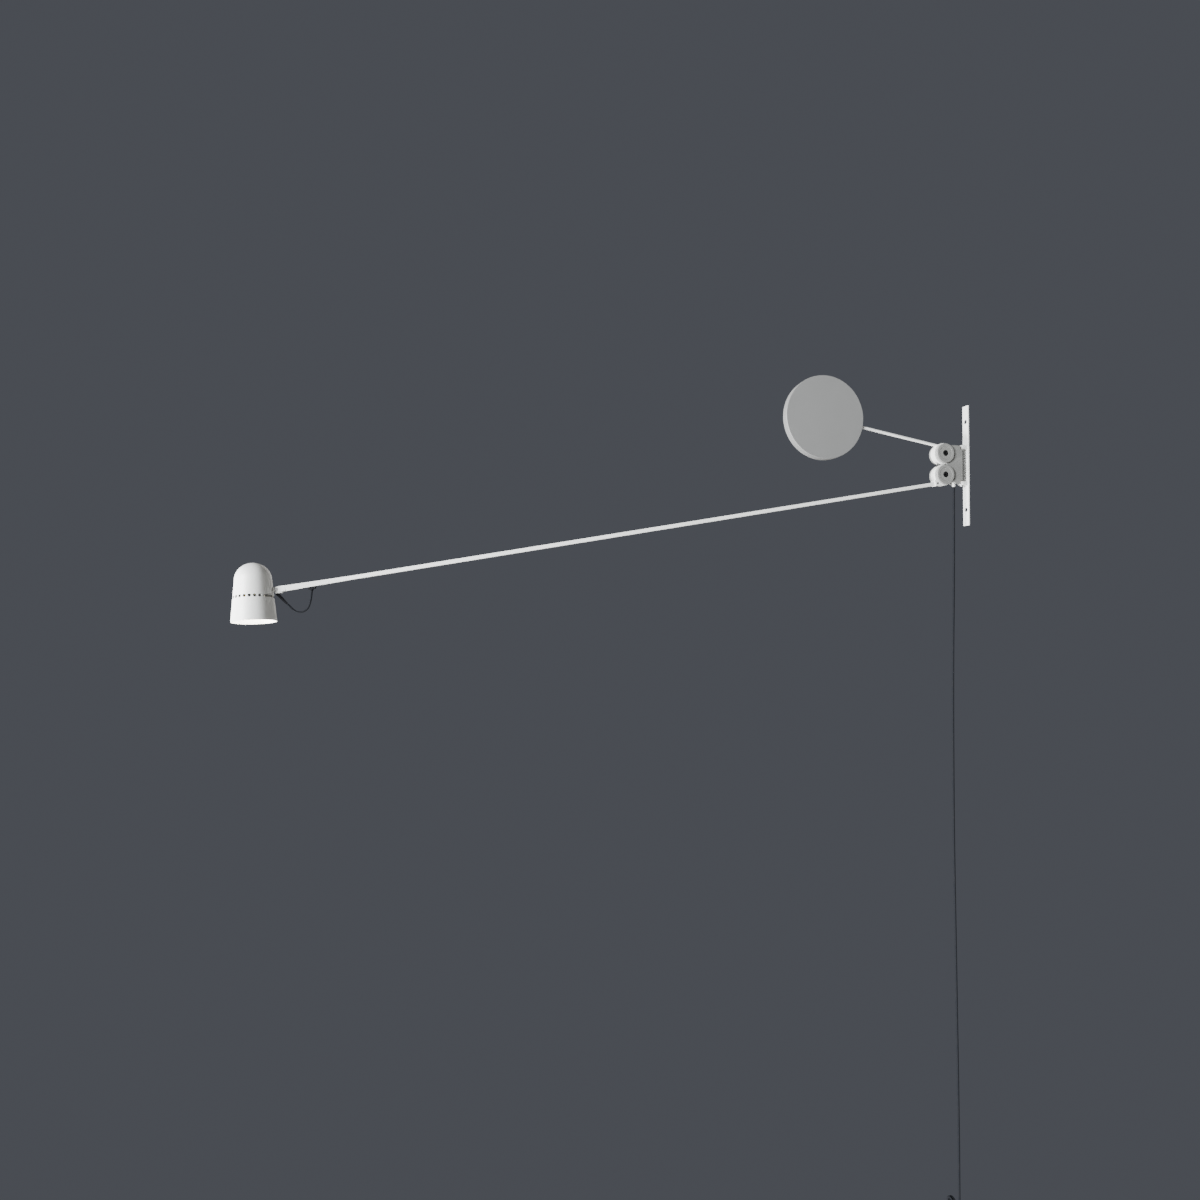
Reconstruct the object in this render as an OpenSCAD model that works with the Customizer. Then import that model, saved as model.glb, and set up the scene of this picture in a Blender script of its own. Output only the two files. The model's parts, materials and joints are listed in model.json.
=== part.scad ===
// Long-reach wall lamp with a geared counterweight.
// The wall plane is X = 0 and the room is towards -X. +Z is up. The origin is the
// middle of the wall plate's back face. The lamp arm and the counterweight rod lie
// in the plane Y = 0 and are drawn in their resting pose.

/* [Wall plate] */
// Width of the flat bar on the wall
plate_w = 22; // [20:1:40]
// Height of the flat bar
plate_h = 340; // [300:5:420]
// Thickness of the flat bar
plate_t = 3; // [3:0.5:6]
// Diameter of the two wall screw holes
wall_hole_d = 12; // [6:0.5:13]
// Distance between the two wall screw holes
wall_hole_pitch = 250; // [180:5:280]

/* [Swivel hinge] */
// Distance from the wall to the hinge pin's axis
pin_x = 17; // [16:0.5:22]
// Diameter of the hinge pin
pin_d = 8; // [6:0.5:9]
// Wall of the hinge bushes
hinge_bush_wall = 2; // [1.5:0.25:2.5]
// Wall of the swivel's barrel
barrel_wall = 3; // [2:0.25:3]
// Overall height of the fixed hinge bracket
bracket_h = 112; // [100:2:130]
// Height of each fixed lug
lug_h = 10; // [8:1:14]

/* [Hub pair] */
// Distance from the wall to both axles
hub_x = 80; // [76:1:110]
// Distance between the two axles
axle_pitch = 60; // [56:1:74]
// Diameter of both axles
axle_d = 14; // [12:0.5:16]
// Wall of the axle bushes
axle_bush_wall = 2; // [1.5:0.25:2.5]
// Width of each hub drum
hub_w = 17.4; // [16:0.2:24]
// Thickness of each swivel cheek
cheek_t = 3; // [2.5:0.25:4]
// Diameter of the round caps
cap_d = 54; // [46:1:56]
// Thickness of the round caps
cap_t = 5.5; // [5:0.25:8]
// Diameter of the recess in each cap's face
cap_recess_d = 40; // [30:1:44]

/* [Gears] */
// Teeth that a whole gear of this size would have
gear_teeth = 24; // [20:2:28]
// Width of the gear sectors
gear_w = 6; // [4:0.5:8]
// Free play between the teeth
gear_play = 0.3; // [0.2:0.05:0.5]

/* [Lamp arm] */
// Length of the arm from the hub to its free end
arm_l = 1760; // [1200:10:2000]
// Length of the arm's tail behind the hub
arm_tail = 38; // [30:1:38]
// Width of the arm
arm_w = 12; // [11:0.5:14]
// Height of the arm
arm_h = 9; // [8:0.5:10]
// Height of the arm at its free end
arm_end_h = 13; // [10:0.5:16]
// Length over which the arm grows to its end height
arm_flare_l = 150; // [100:10:200]
// Wall of the arm's tube
arm_wall = 1.5; // [1:0.25:2]
// Angle by which the arm drops and the rod rises
lever_angle = 9.9; // [0:0.1:12]
// Distance from each axle to the centre line of its arm
lever_offset = 20.6; // [19:0.1:22]

/* [Counterweight] */
// Diameter of the counterweight
weight_d = 227; // [180:1:240]
// Thickness of the counterweight
weight_t = 21; // [18:0.5:30]
// Distance along the rod from the hub to the counterweight's centre
weight_reach = 372; // [300:1:420]
// Diameter of the rod
rod_d = 8; // [7:0.5:10]

/* [Neck] */
// Distance from the arm's end to the tilt pin
neck_reach = 20; // [18:0.5:30]
// Diameter of the neck's spigot inside the arm
spigot_d = 6; // [5:0.25:7]
// Diameter of the tilt pin
tilt_pin_d = 5; // [4:0.25:5.5]
// Angle by which the head is turned about the arm
head_turn = 7; // [-20:1:20]
// Angle between the shade's axis and the vertical
head_lean = 3; // [0:0.5:9]

/* [Shade] */
// Diameter of the shade's mouth
shade_d = 97; // [90:1:130]
// Height of the shade
shade_h = 137; // [130:1:170]
// Slope of the shade's side
shade_slope = 5.1; // [3:0.1:7]
// Wall of the shade
shade_wall = 1.5; // [1:0.1:2]
// Height of the tilt pin above the mouth
tilt_h = 72; // [70:1:80]
// Gap between the tilt pin's axis and the shade's side
tilt_gap = 8; // [7.5:0.25:14]
// Height of the ring of vents above the mouth
vent_h = 56; // [50:1:60]
// Diameter of each vent
vent_d = 7; // [4:0.25:8]
// Height of the slot
slot_h = 5.5; // [4:0.25:8]
// Positions round the ring of vents
vent_count = 25; // [16:1:28]
// Half of the slot's angle on the arm's side
slot_half_angle = 47; // [20:1:60]
// Depth from the mouth to the diffuser's ring
mouth_recess = 17.5; // [10:0.5:20]

/* [Cables] */
// Diameter of the mains cord
mains_d = 6; // [5:0.5:6]
// Diameter of the cable inside the arm and at the neck
jumper_d = 4; // [3:0.5:4.5]
// Length of the tapered boot on the neck
boot_l = 32; // [20:1:40]

/* [Hidden] */
$fn = 96;
// Radial clearance of turning fits, and gap between pieces that pass each other
run_gap = 0.05;
side_gap = 0.1;
pass_gap = 1;
// Extra reach of a cutting solid past the surface it cuts
over = 1;

// Swivel hinge
hinge_bush_r = pin_d/2 + hinge_bush_wall;
barrel_r = hinge_bush_r + barrel_wall;
lug_z = bracket_h/2 - lug_h;
flange_t = 0.9;
barrel_h = 2*(lug_z - flange_t - side_gap);
pin_head_d = pin_d + 4;
pin_head_h = 2.5;
clip_t = 1;
pin_end = 3;

// Stack of pieces along the axles, as distances from the plane Y = 0
axle_r = axle_d/2;
axle_bush_r = axle_r + axle_bush_wall;
thrust_t = 0.7;
cheek_y = hub_w/2 + thrust_t + side_gap;
cap_y = cheek_y + cheek_t;
face_y = cap_y + cap_t;
upper_z = axle_pitch/2;
lower_z = -axle_pitch/2;
drum_gap = 1.4;
drum_r = (axle_pitch - drum_gap)/2;
cheek_r = cap_d/2 - 5;

// Socket screws in the caps
screw_d = 8;
screw_head_d = 16;
screw_head_h = 3;
screw_l = 10;
cap_recess = 0.8;
cap_floor = 1.5;

// Gears: involute teeth, 20 degree pressure angle
pitch_r = axle_pitch/2;
tooth_step = 360/gear_teeth;
tooth_m = axle_pitch/gear_teeth;
base_r = pitch_r*cos(20);
tip_r = pitch_r + 0.92*tooth_m;
root_r = pitch_r - 1.12*tooth_m;
sector_r = axle_bush_r + 8;
sector_pin_r = (sector_r + root_r)/2;
sector_pin_d = 3;
// The lamp arm turns further down than up, so the sectors reach further towards the wall
sector_from = -38;
sector_to = 88;
first_tooth = -2;
last_tooth = 5;

// Arm
arm_inner_w = arm_w - 2*arm_wall;
tail_cap_t = 1.2;
gland_wall = 1.6;
// Eyelet under the arm's tail, seen from the lower axle
gland_x = 37.5;
gland_top = -16.5;
gland_h = 14.5;
socket_l = 22;
grommet_s = arm_l - 57;
grommet_l = 19;
seat_wall = 1.8;
seat_l = drum_r + 1.7;
arm_screw_d = 4;
arm_screws_x = [-23, 14];
// Rod in its hub and in the counterweight, and its headless screws
rod_in_hub = 12;
rod_in_weight = 12;
rod_screws_x = [-12, 2];
grub_d = 5;
grub_hex_d = 2.9;

// Neck
neck_w = arm_w + 0.6;
neck_h = arm_end_h - 0.4;
lug_w = 6;
lug_r = 5;
ear_r = neck_h/2;
ear_gap = 0.3;
boss_h = 2.7;
boss_w = 10;
boot_angle = 57;
boot_r = 4;
boot_tip_r = jumper_d/2 + 0.4;
retainer_t = 2;

// Shade
shade_r = shade_d/2;
slope_tan = tan(shade_slope);
dome_r = (shade_r - shade_h*slope_tan)
    / (cos(shade_slope) - slope_tan*(1 - sin(shade_slope)));
dome_z = shade_h - dome_r;
wall_run = shade_wall/cos(shade_slope);
head_offset = tilt_gap + side_r(tilt_h);
sink_z = tilt_h + 11;
sink_t = 6;
sink_r = inner_r(sink_z + sink_t) - side_gap;
fin_t = 2;
fin_step = 7;
fins_each_side = 4;
board_t = 1.6;
chip_t = 1.2;
reflector_z = mouth_recess + 5;
diffuser_t = 2.5;
ring_t = 2.5;
// Foot of the head's lug under the heat sink, as a distance from the shade's axis and a size
lug_foot_x = 24;
lug_foot = [12, 18, 7];
lug_screw_d = 3;
lug_screw_pitch = 12;

// Mains cord, seen from the point under the gland at the height of the lower axle
mains_route = [
    [0, 0, -17], [0, 0, -32], [0, 0, -60], [-0.5, 0, -130], [-1.5, 0, -230],
    [-3.5, 0, -350], [-6.5, 0, -490], [-8.5, 0, -650], [-9.5, 0, -830], [-9.5, 0, -1030],
    [-7.5, 0, -1250], [-5.5, 0, -1470], [-3.5, 0, -1690], [-2.5, 0, -1870], [-2.5, 0, -1990],
    [-2.5, 0, -2060]
];
// Jumper cable, seen from the middle of the arm's free end
jumper_route = [
    [56.1, 0, -10.9], [54.8, 0, -17.8], [51.9, 0, -28.5], [47.9, -0.5, -39.9],
    [42.5, -1, -50.7], [36, -1.5, -57.1], [27.6, -2, -60.3], [19.3, -2.6, -59.8],
    [12.3, -3.1, -56.1], [7.2, -3.6, -50.1], [2.9, -4.1, -43.2], [-1.8, -4.6, -36.9]
];
hank_x = -2.5;
hank_run = 110;
hank_bend_r = 20;
hank_turns = 2;
hank_top = -2060;
tail_drop = 50;
plug_w = 26;
plug_t = 15;
plug_l = 34;
relief_l = 20;
prong_d = 4;
prong_l = 19;
prong_pitch = 19;

// ---- Shapes used by several pieces ----

// Outer radius of the shade's side, and inner radius, at a height above the mouth
function side_r(z) = shade_r - z*slope_tan;
function inner_r(z) = side_r(z) - wall_run;

module along_x(d, from, to) {
    translate([from, 0, 0]) rotate([0, 90, 0]) cylinder(d = d, h = to - from);
}

module along_y(d, from, to) {
    translate([0, from, 0]) rotate([-90, 0, 0]) cylinder(d = d, h = to - from);
}

// Flat outline in X and Z, given its width in Y
module slab(from, to) {
    translate([0, to, 0]) rotate([90, 0, 0]) linear_extrude(height = to - from) children();
}

// Disc along Y with bevelled rims
module bevelled_disc(d, from, to, bevel) {
    along_y(d - 2*bevel, from, to);
    along_y(d, from + bevel, to - bevel);
    translate([0, from, 0]) rotate([-90, 0, 0])
        cylinder(d1 = d - 2*bevel, d2 = d, h = bevel);
    translate([0, to - bevel, 0]) rotate([-90, 0, 0])
        cylinder(d1 = d, d2 = d - 2*bevel, h = bevel);
}

module both_sides() {
    children();
    mirror([0, 1, 0]) children();
}

module at_lower() { translate([-hub_x, 0, lower_z]) children(); }
module at_upper() { translate([-hub_x, 0, upper_z]) children(); }
// Frames whose -X axis runs along the lamp arm and along the counterweight's rod
module lamp_side() { at_lower() rotate([0, -lever_angle, 0]) children(); }
module weight_side() { at_upper() rotate([0, lever_angle, 0]) children(); }
// Frames at the tilt pin: the neck's, and the head's
module at_neck() {
    lamp_side() translate([-arm_l - neck_reach, 0, -lever_offset])
        rotate([-head_turn, 0, 0]) children();
}
module at_head() { at_neck() rotate([0, lever_angle - head_lean, 0]) children(); }
// Frame under the gland at the height of the lower axle, for the mains cord
module at_gland() { at_lower() translate([gland_x, 0, 0]) children(); }
// Frame at the middle of the shade's mouth
module at_mouth() { at_head() translate([-head_offset, 0, -tilt_h]) children(); }

// Cord: points along a smooth curve through the route, then a tube round them
function curve_at(route, i, t) = let(
        last = len(route) - 1,
        a = route[max(i - 1, 0)], b = route[i],
        c = route[min(i + 1, last)], d = route[min(i + 2, last)])
    0.5*(2*b + (c - a)*t + (2*a - 5*b + 4*c - d)*t*t + (3*b - a - 3*c + d)*t*t*t);
function curve(route, steps) = concat(
    [for (i = [0 : len(route) - 2]) for (k = [0 : steps - 1]) curve_at(route, i, k/steps)],
    [route[len(route) - 1]]);
function unit(v) = v/norm(v);
function backwards(list) = [for (i = [len(list) - 1 : -1 : 0]) list[i]];

module cord(route, steps, d, sides) {
    path = curve(route, steps);
    n = len(path);
    rings = [for (i = [0 : n - 1]) let(
            along = unit(path[min(i + 1, n - 1)] - path[max(i - 1, 0)]),
            across = unit(cross([0, 1, 0], along)),
            other = cross(along, across))
        for (k = [0 : sides - 1])
            path[i] + d/2*(cos(360*k/sides)*across + sin(360*k/sides)*other)];
    walls = [for (i = [0 : n - 2]) for (k = [0 : sides - 1]) let(j = (k + 1) % sides)
        [i*sides + k, i*sides + j, (i + 1)*sides + j, (i + 1)*sides + k]];
    near_end = [for (k = [0 : sides - 1]) sides - 1 - k];
    far_end = [for (k = [0 : sides - 1]) (n - 1)*sides + k];
    polyhedron(points = rings, faces = [for (f = concat(walls, [near_end, far_end])) backwards(f)]);
}

// ---- Wall bracket ----

module wall_plate() {
    color("whitesmoke") difference() {
        translate([-plate_t, -plate_w/2, -plate_h/2]) cube([plate_t, plate_w, plate_h]);
        for (s = [-1, 1])
            translate([0, 0, s*wall_hole_pitch/2])
                along_x(wall_hole_d, -plate_t - over, over);
    }
}

// Two lugs on a thin strip, with a small fillet where each meets the plate
module hinge_bracket() {
    strip_t = 2;
    strip_w = 12;
    fillet_r = 4;
    color("whitesmoke") {
        translate([-plate_t - strip_t, -strip_w/2, -lug_z]) cube([strip_t, strip_w, 2*lug_z]);
        for (s = [0, 1]) mirror([0, 0, s]) difference() {
            union() {
                translate([-pin_x, 0, lug_z]) cylinder(r = barrel_r, h = lug_h);
                translate([-pin_x, -barrel_r, lug_z])
                    cube([pin_x - plate_t, 2*barrel_r, lug_h]);
                difference() {
                    translate([-plate_t - fillet_r, -barrel_r, bracket_h/2])
                        cube([fillet_r, 2*barrel_r, fillet_r]);
                    translate([-plate_t - fillet_r, -barrel_r - over, bracket_h/2 + fillet_r])
                        rotate([-90, 0, 0]) cylinder(r = fillet_r, h = 2*(barrel_r + over));
                }
            }
            translate([-pin_x, 0, lug_z - over]) cylinder(d = pin_d, h = lug_h + 2*over);
        }
    }
}

module hinge_pin() {
    color("silver") translate([-pin_x, 0, 0]) difference() {
        union() {
            translate([0, 0, -bracket_h/2 - pin_end]) cylinder(d = pin_d, h = bracket_h + pin_end);
            translate([0, 0, bracket_h/2]) cylinder(d1 = pin_head_d, d2 = pin_head_d - 2, h = pin_head_h);
        }
        translate([0, 0, -bracket_h/2 - clip_t]) difference() {
            cylinder(d = pin_d + over, h = clip_t);
            cylinder(d = pin_d - 1.5, h = clip_t);
        }
    }
}

module pin_clip() {
    ring_w = 2.2;
    mouth_w = 4;
    color("dimgray") translate([-pin_x, 0, -bracket_h/2 - clip_t]) difference() {
        cylinder(d = pin_d - 1.5 + 2*ring_w, h = clip_t);
        translate([0, 0, -over]) cylinder(d = pin_d - 1.5, h = clip_t + 2*over);
        translate([0, -mouth_w/2, -over]) cube([pin_d, mouth_w, clip_t + 2*over]);
    }
}

// ---- Swivel ----

// Barrel on the hinge pin, with two cheeks that carry the axles
module swivel_block() {
    root_h = barrel_h - 4;
    root_x = [pin_x + 6, pin_x + 13];
    tail_pocket = [pin_x + barrel_r + 0.2, 14.4];
    color("gainsboro") difference() {
        union() {
            translate([-pin_x, 0, -barrel_h/2]) cylinder(r = barrel_r, h = barrel_h);
            translate([-root_x[1], -cap_y, -root_h/2])
                cube([root_x[1] - root_x[0], 2*cap_y, root_h]);
            both_sides() slab(cheek_y, cap_y) cheek_outline(root_x[1] - 0.5);
        }
        translate([-pin_x, 0, -barrel_h/2 - over])
            cylinder(r = hinge_bush_r, h = barrel_h + 2*over);
        translate([-root_x[1] - over, -tail_pocket[1]/2, -root_h/2 - over])
            cube([root_x[1] + over - tail_pocket[0], tail_pocket[1], root_h/2 + 2*over + 8]);
        for (z = [lower_z, upper_z])
            translate([-hub_x, 0, z]) along_y(axle_d, -cap_y - over, cap_y + over);
    }
}

// Side view of a cheek: as tall as the hinge at its back, round at both axles,
// and cut away under the lamp arm's tail
module cheek_outline(back_x) {
    waist = 8;
    back_h = bracket_h/2 - 2;
    for (z = [lower_z, upper_z]) translate([-hub_x, z]) circle(r = cheek_r);
    polygon([
        [-back_x, -back_h], [-back_x, back_h],
        [-hub_x + cheek_r - 2, back_h], [-hub_x, upper_z + cheek_r - 1], [-hub_x, upper_z],
        [-hub_x + waist, 0], [-hub_x, lower_z], [-hub_x + waist + 2, lower_z - cheek_r + 4],
        [-hub_x + cheek_r + 6, -back_h + 8], [-back_x - 15, -back_h]
    ]);
}

module hinge_bushes() {
    sleeve_l = 20;
    color("peru") translate([-pin_x, 0, 0]) for (s = [0, 1]) mirror([0, 0, s]) difference() {
        union() {
            translate([0, 0, barrel_h/2 - sleeve_l]) cylinder(r = hinge_bush_r, h = sleeve_l);
            translate([0, 0, barrel_h/2]) cylinder(r = barrel_r - 1, h = flange_t);
        }
        translate([0, 0, barrel_h/2 - sleeve_l - over])
            cylinder(r = pin_d/2 + run_gap, h = sleeve_l + flange_t + 2*over);
    }
}

module axle() {
    color("silver") difference() {
        along_y(axle_d, -cap_y, cap_y);
        both_sides() along_y(screw_d, cap_y - screw_l, cap_y + over);
    }
}
module lower_axle() { at_lower() axle(); }
module upper_axle() { at_upper() axle(); }

// Round cap with a recessed face and a counterbore for its screw
module cap() {
    color("lightgray") difference() {
        bevelled_disc(cap_d, cap_y, face_y, 0.8);
        along_y(cap_recess_d, face_y - cap_recess, face_y + over);
        along_y(screw_head_d + 0.6, cap_y + cap_floor, face_y + over);
        along_y(screw_d + 0.4, cap_y - over, face_y);
    }
}
module front_lower_cap() { at_lower() mirror([0, 1, 0]) cap(); }
module front_upper_cap() { at_upper() mirror([0, 1, 0]) cap(); }
module rear_lower_cap() { at_lower() cap(); }
module rear_upper_cap() { at_upper() cap(); }

module cap_screws() {
    head_y = cap_y + cap_floor;
    socket_d = 6.9;
    socket_depth = 2;
    color("black") for (z = [lower_z, upper_z]) translate([-hub_x, 0, z]) both_sides()
        difference() {
            union() {
                bevelled_disc(screw_head_d, head_y, head_y + screw_head_h, 0.4);
                along_y(screw_d - 2*run_gap, cap_y + over - screw_l, head_y);
            }
            translate([0, head_y + screw_head_h - socket_depth, 0]) rotate([-90, 0, 0])
                cylinder(d = socket_d, h = socket_depth + over, $fn = 6);
        }
}

// ---- Gears, the same on both hubs ----

function involute(a) = tan(a)*180/PI - a;
// Half of a tooth's angle at a radius
function tooth_half(r) = 90/gear_teeth - gear_play/4/pitch_r*180/PI + involute(20)
    - (r > base_r ? involute(acos(base_r/r)) : 0);
// Point at a radius and at an angle from the contact line, towards the wall
function polar(r, a) = r*[sin(a), cos(a)];

tooth_radii = [root_r, base_r, (base_r + pitch_r)/2, pitch_r, (pitch_r + tip_r)/2, tip_r];
function tooth_points(at) = concat(
    [for (i = [0 : 5]) polar(tooth_radii[i], at - tooth_half(tooth_radii[i]))],
    [for (i = [5 : -1 : 0]) polar(tooth_radii[i], at + tooth_half(tooth_radii[i]))]);

// Wedge that clears the sector by a margin of an angle at both ends
module sector_wedge(margin) {
    steps = 4;
    from = sector_from - margin;
    swing = sector_to - sector_from + 2*margin;
    polygon(concat([[0, 0]], [for (i = [0 : steps]) polar(2*tip_r, from + swing*i/steps)]));
}

// Toothed sector that points up. The shift moves the teeth by a part of one step
module gear_outline(shift) {
    polygon(concat([[0, 0], polar(root_r, sector_from)],
        [for (k = [first_tooth : last_tooth]) each tooth_points((k + shift)*tooth_step)],
        [polar(root_r, sector_to)]));
}

module sector_pin_holes(d, from, to) {
    for (a = [0, 50])
        translate([sector_pin_r*sin(a), 0, sector_pin_r*cos(a)]) along_y(d, from, to);
}

module gear(shift) {
    color("darkgray") difference() {
        slab(-gear_w/2, gear_w/2) gear_outline(shift);
        along_y(2*sector_r, -gear_w, gear_w);
        sector_pin_holes(sector_pin_d, -hub_w, hub_w);
    }
}
module gear_pins() { color("silver") sector_pin_holes(sector_pin_d - run_gap, -hub_w/2, hub_w/2); }

module drum() { bevelled_disc(2*drum_r, -hub_w/2, hub_w/2, 0.6); }

// Bore for the bushes, groove for the gear sector and holes for its pins
module drum_cuts() {
    along_y(2*axle_bush_r, -hub_w, hub_w);
    difference() {
        slab(-gear_w/2 - side_gap, gear_w/2 + side_gap) sector_wedge(0.5);
        along_y(2*sector_r, -gear_w, gear_w);
    }
    sector_pin_holes(sector_pin_d, -hub_w, hub_w);
}

module flanged_bushes() {
    color("peru") both_sides() difference() {
        union() {
            along_y(2*axle_bush_r, 0.3, hub_w/2);
            along_y(2*axle_bush_r + 4, hub_w/2, hub_w/2 + thrust_t);
        }
        along_y(axle_d + 2*run_gap, -over, hub_w);
    }
}

// ---- Lamp arm ----

// Side view of the arm: an even bar that grows towards its free end
module arm_outline(inset, beyond) {
    half = arm_h/2 - inset;
    end_half = arm_end_h/2 - inset;
    rise = (end_half - half)/arm_flare_l*beyond;
    translate([0, -lever_offset]) polygon([
        [arm_tail + beyond, -half], [arm_tail + beyond, half],
        [arm_flare_l - arm_l, half], [-arm_l - beyond, end_half + rise],
        [-arm_l - beyond, -end_half - rise], [arm_flare_l - arm_l, -half]
    ]);
}

// Countersunk screws through the hub's flanks into the arm's sides
module arm_screw_places() {
    for (x = arm_screws_x) translate([x, 0, -lever_offset]) both_sides() children();
}
module arm_screw(slack) {
    head = 7;
    along_y(arm_screw_d + slack, arm_w/2 - arm_wall - 0.5, hub_w/2);
    translate([0, hub_w/2 - 2, 0]) rotate([-90, 0, 0])
        cylinder(d1 = arm_screw_d + slack, d2 = head + slack, h = 2);
}

module lower_hub() {
    seat_bottom = lever_offset + arm_h/2 + seat_wall;
    color("white") at_lower() difference() {
        union() {
            drum();
            rotate([0, -lever_angle, 0]) translate([-seat_l, -hub_w/2, -seat_bottom])
                cube([seat_l, hub_w, seat_bottom - 10]);
        }
        drum_cuts();
        rotate([0, -lever_angle, 0]) {
            translate([-2*drum_r, -arm_w/2, -lever_offset - arm_h/2]) cube([4*drum_r, arm_w, arm_h]);
            arm_screw_places() arm_screw(0.2);
        }
    }
}
module lower_gear() { at_lower() gear(0); }
module lower_gear_pins() { at_lower() gear_pins(); }
module lower_bushes() { at_lower() flanged_bushes(); }

module lamp_arm() {
    color("white") lamp_side() difference() {
        slab(-arm_w/2, arm_w/2) arm_outline(0, 0);
        slab(-arm_inner_w/2, arm_inner_w/2) arm_outline(arm_wall, over);
        arm_screw_places() along_y(arm_screw_d + 0.2, 0, arm_w);
        translate([-grommet_s, 0, -lever_offset - arm_end_h]) grommet_stem(0.1, arm_end_h);
        gland_hole();
    }
}

// Room for the gland in the arm and in the plug of its tail
module gland_hole() {
    rotate([0, lever_angle, 0]) translate([gland_x, 0, gland_top - gland_h])
        cylinder(d = mains_d + 2*gland_wall, h = gland_h + 2*over);
}

module arm_screws() {
    color("silver") lamp_side() arm_screw_places() arm_screw(0);
}

module arm_cable() {
    short_of_tail = 12;
    color("black") lamp_side() translate([0, 0, -lever_offset])
        along_x(jumper_d, -grommet_s - grommet_l/2, arm_tail - short_of_tail);
}

// Socket in the arm's free end, in which the neck turns
module arm_end_socket() {
    color("gray") lamp_side() difference() {
        intersection() {
            slab(-arm_inner_w/2, arm_inner_w/2) arm_outline(arm_wall, 0);
            translate([-arm_l, -arm_w, -arm_end_h - lever_offset]) cube([socket_l, 2*arm_w, 2*arm_end_h]);
        }
        translate([0, 0, -lever_offset])
            along_x(spigot_d + 2*run_gap, -arm_l - over, socket_l + over - arm_l);
    }
}

module tail_plug() {
    insert_l = 1.4;
    insert_h = arm_h - 2*arm_wall;
    color("white") lamp_side() difference() {
        translate([arm_tail, 0, -lever_offset]) {
            translate([0, -arm_w/2, -arm_h/2]) cube([tail_cap_t, arm_w, arm_h]);
            translate([-insert_l, -arm_inner_w/2, -insert_h/2])
                cube([insert_l + 0.5, arm_inner_w, insert_h]);
        }
        gland_hole();
    }
}

// Tapered eyelet that hangs under the arm's tail and lets the mains cord down
module tail_gland() {
    top_r = mains_d/2 + gland_wall - 0.1;
    color("white") at_gland() translate([0, 0, gland_top - gland_h]) difference() {
        cylinder(r1 = top_r - 0.6, r2 = top_r, h = gland_h);
        translate([0, 0, -over]) cylinder(d = mains_d + 2*run_gap, h = gland_h + 2*over);
    }
}

// Oval stem of the grommet, and the same shape as its slot
module grommet_stem(slack, height) {
    stem_w = 6;
    stem_l = grommet_l - 4;
    for (s = [-1, 1]) translate([s*(stem_l - stem_w)/2, 0, 0])
        cylinder(d = stem_w + slack, h = height);
    translate([(stem_w - stem_l)/2, -(stem_w + slack)/2, 0])
        cube([stem_l - stem_w, stem_w + slack, height]);
}

module arm_grommet() {
    flange_w = 9;
    lip = 6;
    nozzle_l = 3.5;
    surface = arm_h/2 + (arm_end_h - arm_h)/2*(arm_flare_l - arm_l + grommet_s)/arm_flare_l;
    tilt = atan((arm_end_h - arm_h)/2/arm_flare_l);
    color("black") lamp_side() translate([-grommet_s, 0, -lever_offset - surface])
        difference() {
            union() {
                rotate([0, -tilt, 0]) {
                    translate([0, 0, -lip]) {
                        for (s = [-1, 1]) translate([s*(grommet_l - flange_w)/2, 0, 0])
                            cylinder(d1 = flange_w - 2, d2 = flange_w, h = lip);
                        translate([(flange_w - grommet_l)/2, -flange_w/2 + 0.5, 0])
                            cube([grommet_l - flange_w, flange_w - 1, lip]);
                    }
                    grommet_stem(0, arm_wall + 0.5);
                }
                rotate([0, lever_angle, 0]) translate([0, 0, -lip - nozzle_l])
                    cylinder(d1 = jumper_d + 2, d2 = flange_w, h = nozzle_l + 0.5);
            }
            rotate([0, lever_angle, 0]) translate([0, 0, -lip - nozzle_l - over])
                cylinder(d = jumper_d + 2*run_gap, h = nozzle_l + 3*lip + 2*over);
        }
}

// ---- Counterweight arm ----

module upper_hub() {
    color("white") at_upper() difference() {
        drum();
        mirror([0, 0, 1]) drum_cuts();
        rotate([0, lever_angle, 0]) {
            translate([0, 0, lever_offset]) along_x(rod_d, -2*drum_r, rod_in_hub);
            rod_screw_places() cylinder(d = grub_d, h = drum_r);
        }
    }
}
module upper_gear() { at_upper() mirror([0, 0, 1]) gear(0.5); }
module upper_gear_pins() { at_upper() mirror([0, 0, 1]) gear_pins(); }
module upper_bushes() { at_upper() flanged_bushes(); }

module rod_screw_places() {
    for (x = rod_screws_x) translate([x, 0, lever_offset + rod_d/2]) children();
}

module counter_rod() {
    color("white") weight_side() translate([0, 0, lever_offset])
        along_x(rod_d, weight_d/2 - weight_reach - rod_in_weight, rod_in_hub);
}

// Headless screws that hold the rod in the hub
module rod_screws() {
    screw_h = 3;
    color("black") weight_side() rod_screw_places() difference() {
        cylinder(d = grub_d - 2*run_gap, h = screw_h);
        translate([0, 0, 1]) cylinder(d = grub_hex_d, h = screw_h, $fn = 6);
    }
}

module weight_frame() {
    weight_side() translate([-weight_reach, 0, lever_offset]) children();
}

module counterweight() {
    color("lightgray") weight_frame() difference() {
        bevelled_disc(weight_d, -weight_t/2, weight_t/2, 1);
        along_x(rod_d, weight_d/2 - rod_in_weight, weight_d);
        weight_screw_place() along_y(grub_d, 0, weight_t);
    }
}

module weight_screw_place() { translate([(weight_d - rod_in_weight)/2, 0, 0]) children(); }

module weight_screw() {
    color("black") weight_frame() weight_screw_place() difference() {
        along_y(grub_d - 2*run_gap, rod_d/2, weight_t/2 - 0.5);
        translate([0, weight_t/2 - 2.5, 0]) rotate([-90, 0, 0])
            cylinder(d = grub_hex_d, h = 3, $fn = 6);
    }
}

// ---- Neck ----

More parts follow.
